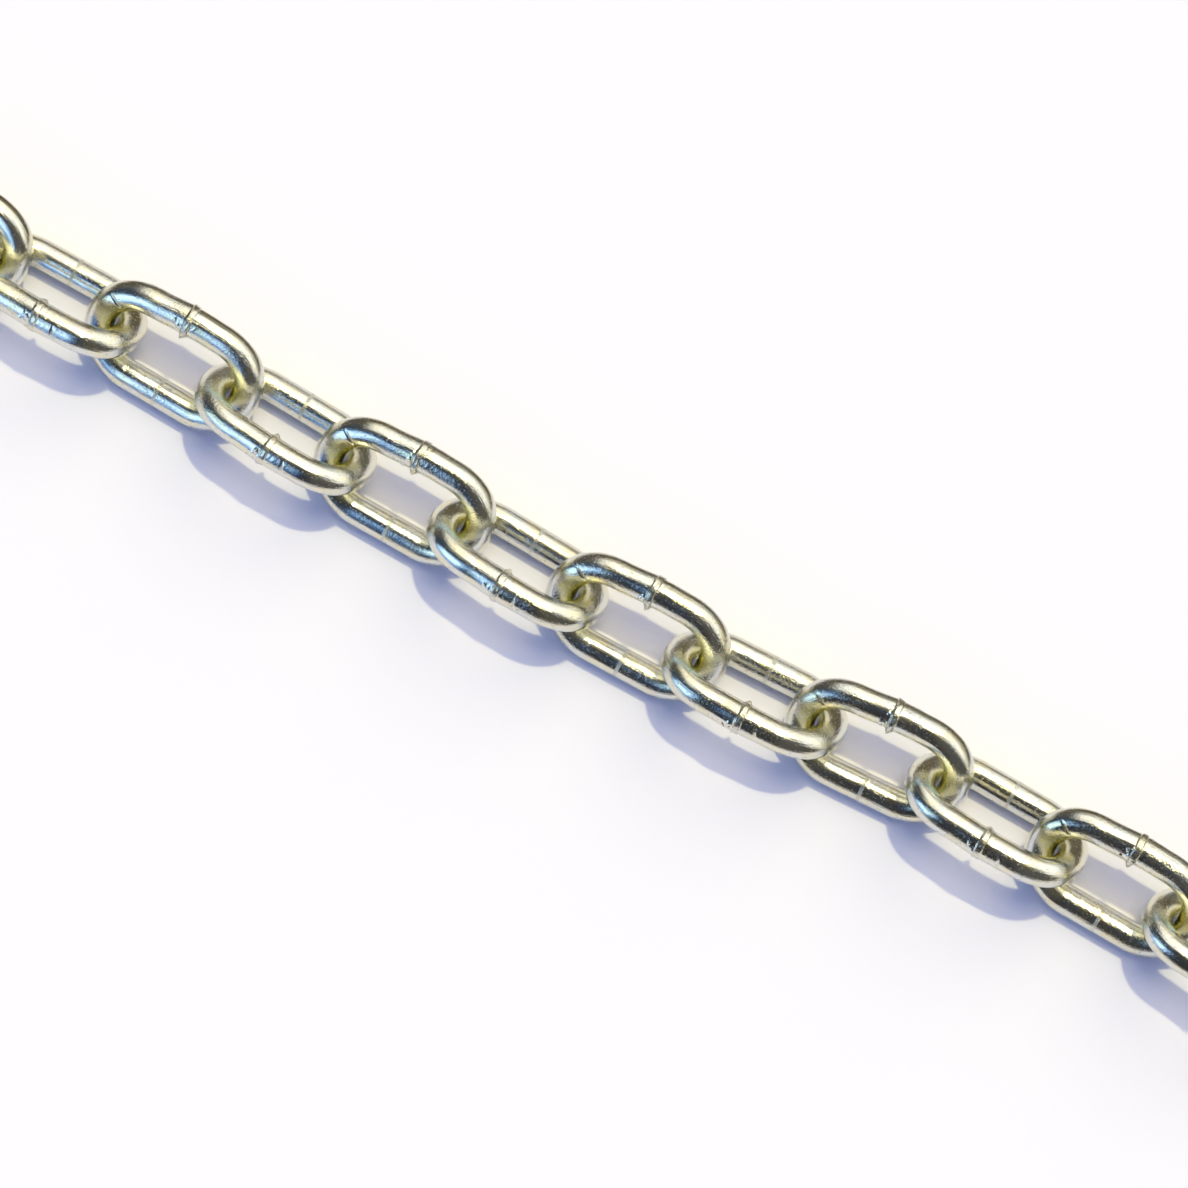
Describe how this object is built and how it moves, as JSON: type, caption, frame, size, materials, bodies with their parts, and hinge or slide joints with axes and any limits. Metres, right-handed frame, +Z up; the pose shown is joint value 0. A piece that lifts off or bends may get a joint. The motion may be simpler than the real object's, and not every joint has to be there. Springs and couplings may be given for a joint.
{
  "type": "welded link chain",
  "caption": "Length of bright zinc plated round wire chain with short oval butt welded links, laid straight with its links leaning left and right in turn.",
  "frame": {"origin": "on the floor under the middle of the chain's bounding box", "axes": "+X along the chain from link_01 to link_20, +Z up from the floor, +Y to the side that the odd links' welds lean to"},
  "size_m": [0.4432, 0.0194, 0.0163],
  "materials": {
    "zinc_plated_steel": "bright zinc plate with a blue passivate, glossy, with darker weld rings and fine handling scratches"
  },
  "bodies": {
    "link_01": {"link_01": "zinc_plated_steel"},
    "link_02": {"link_02": "zinc_plated_steel"},
    "link_03": {"link_03": "zinc_plated_steel"},
    "link_04": {"link_04": "zinc_plated_steel"},
    "link_05": {"link_05": "zinc_plated_steel"},
    "link_06": {"link_06": "zinc_plated_steel"},
    "link_07": {"link_07": "zinc_plated_steel"},
    "link_08": {"link_08": "zinc_plated_steel"},
    "link_09": {"link_09": "zinc_plated_steel"},
    "link_10": {"link_10": "zinc_plated_steel"},
    "link_11": {"link_11": "zinc_plated_steel"},
    "link_12": {"link_12": "zinc_plated_steel"},
    "link_13": {"link_13": "zinc_plated_steel"},
    "link_14": {"link_14": "zinc_plated_steel"},
    "link_15": {"link_15": "zinc_plated_steel"},
    "link_16": {"link_16": "zinc_plated_steel"},
    "link_17": {"link_17": "zinc_plated_steel"},
    "link_18": {"link_18": "zinc_plated_steel"},
    "link_19": {"link_19": "zinc_plated_steel"},
    "link_20": {"link_20": "zinc_plated_steel"}
  },
  "joints": [
    {"name": "swing_01", "type": "hinge", "parent": "link_01", "child": "link_02", "pos_m": [-0.1921, 0.00073, 0.00798], "axis": [0, 0.7071, 0.7071], "range_deg": [-115, 115]},
    {"name": "swing_02", "type": "hinge", "parent": "link_02", "child": "link_03", "pos_m": [-0.17045, 0.00067, 0.00798], "axis": [0.0185, -0.7069, 0.7071], "range_deg": [-115, 115]},
    {"name": "swing_03", "type": "hinge", "parent": "link_03", "child": "link_04", "pos_m": [-0.1488, 0.00109, 0.00798], "axis": [-0.0062, -0.7071, -0.7071], "range_deg": [-115, 115]},
    {"name": "swing_04", "type": "hinge", "parent": "link_04", "child": "link_05", "pos_m": [-0.12715, 0.00083, 0.00798], "axis": [-0.0123, 0.707, -0.7071], "range_deg": [-115, 115]},
    {"name": "swing_05", "type": "hinge", "parent": "link_05", "child": "link_06", "pos_m": [-0.10553, 0.00021, 0.00798], "axis": [0.037, 0.7061, 0.7071], "range_deg": [-115, 115]},
    {"name": "swing_06", "type": "hinge", "parent": "link_06", "child": "link_07", "pos_m": [-0.08389, -0.00013, 0.00798], "axis": [0.0062, -0.7071, 0.7071], "range_deg": [-115, 115]},
    {"name": "swing_07", "type": "hinge", "parent": "link_07", "child": "link_08", "pos_m": [-0.06224, 0.00012, 0.00798], "axis": [-0.0123, -0.707, -0.7071], "range_deg": [-115, 115]},
    {"name": "swing_08", "type": "hinge", "parent": "link_08", "child": "link_09", "pos_m": [-0.04062, -0.00117, 0.00798], "axis": [0.0185, 0.7069, -0.7071], "range_deg": [-115, 115]},
    {"name": "swing_09", "type": "hinge", "parent": "link_09", "child": "link_10", "pos_m": [-0.01896, -0.0004, 0.00798], "axis": [0, 0.7071, 0.7071], "range_deg": [-115, 115]},
    {"name": "swing_10", "type": "hinge", "parent": "link_10", "child": "link_11", "pos_m": [0.00267, -0.00174, 0.00798], "axis": [-0.0185, -0.7069, 0.7071], "range_deg": [-115, 115]},
    {"name": "swing_11", "type": "hinge", "parent": "link_11", "child": "link_12", "pos_m": [0.02432, -0.00054, 0.00798], "axis": [0.0123, -0.707, -0.7071], "range_deg": [-115, 115]},
    {"name": "swing_12", "type": "hinge", "parent": "link_12", "child": "link_13", "pos_m": [0.04597, -0.00023, 0.00798], "axis": [-0.0308, 0.7064, -0.7071], "range_deg": [-115, 115]},
    {"name": "swing_13", "type": "hinge", "parent": "link_13", "child": "link_14", "pos_m": [0.06754, 0.00184, 0.00798], "axis": [-0.0432, 0.7058, 0.7071], "range_deg": [-115, 115]},
    {"name": "swing_14", "type": "hinge", "parent": "link_14", "child": "link_15", "pos_m": [0.08921, 0.00076, 0.00798], "axis": [-0.0062, -0.7071, 0.7071], "range_deg": [-115, 115]},
    {"name": "swing_15", "type": "hinge", "parent": "link_15", "child": "link_16", "pos_m": [0.11087, 0.00127, 0.00798], "axis": [-0.0062, -0.7071, -0.7071], "range_deg": [-115, 115]},
    {"name": "swing_16", "type": "hinge", "parent": "link_16", "child": "link_17", "pos_m": [0.1325, -0.00004, 0.00798], "axis": [0.0185, 0.7069, -0.7071], "range_deg": [-115, 115]},
    {"name": "swing_17", "type": "hinge", "parent": "link_17", "child": "link_18", "pos_m": [0.15415, 0.00094, 0.00798], "axis": [-0.0062, 0.7071, 0.7071], "range_deg": [-115, 115]},
    {"name": "swing_18", "type": "hinge", "parent": "link_18", "child": "link_19", "pos_m": [0.17579, -0.00021, 0.00798], "axis": [-0.0123, -0.707, 0.7071], "range_deg": [-115, 115]},
    {"name": "swing_19", "type": "hinge", "parent": "link_19", "child": "link_20", "pos_m": [0.19744, 0.00097, 0.00798], "axis": [0.0123, -0.707, -0.7071], "range_deg": [-115, 115]}
  ]
}
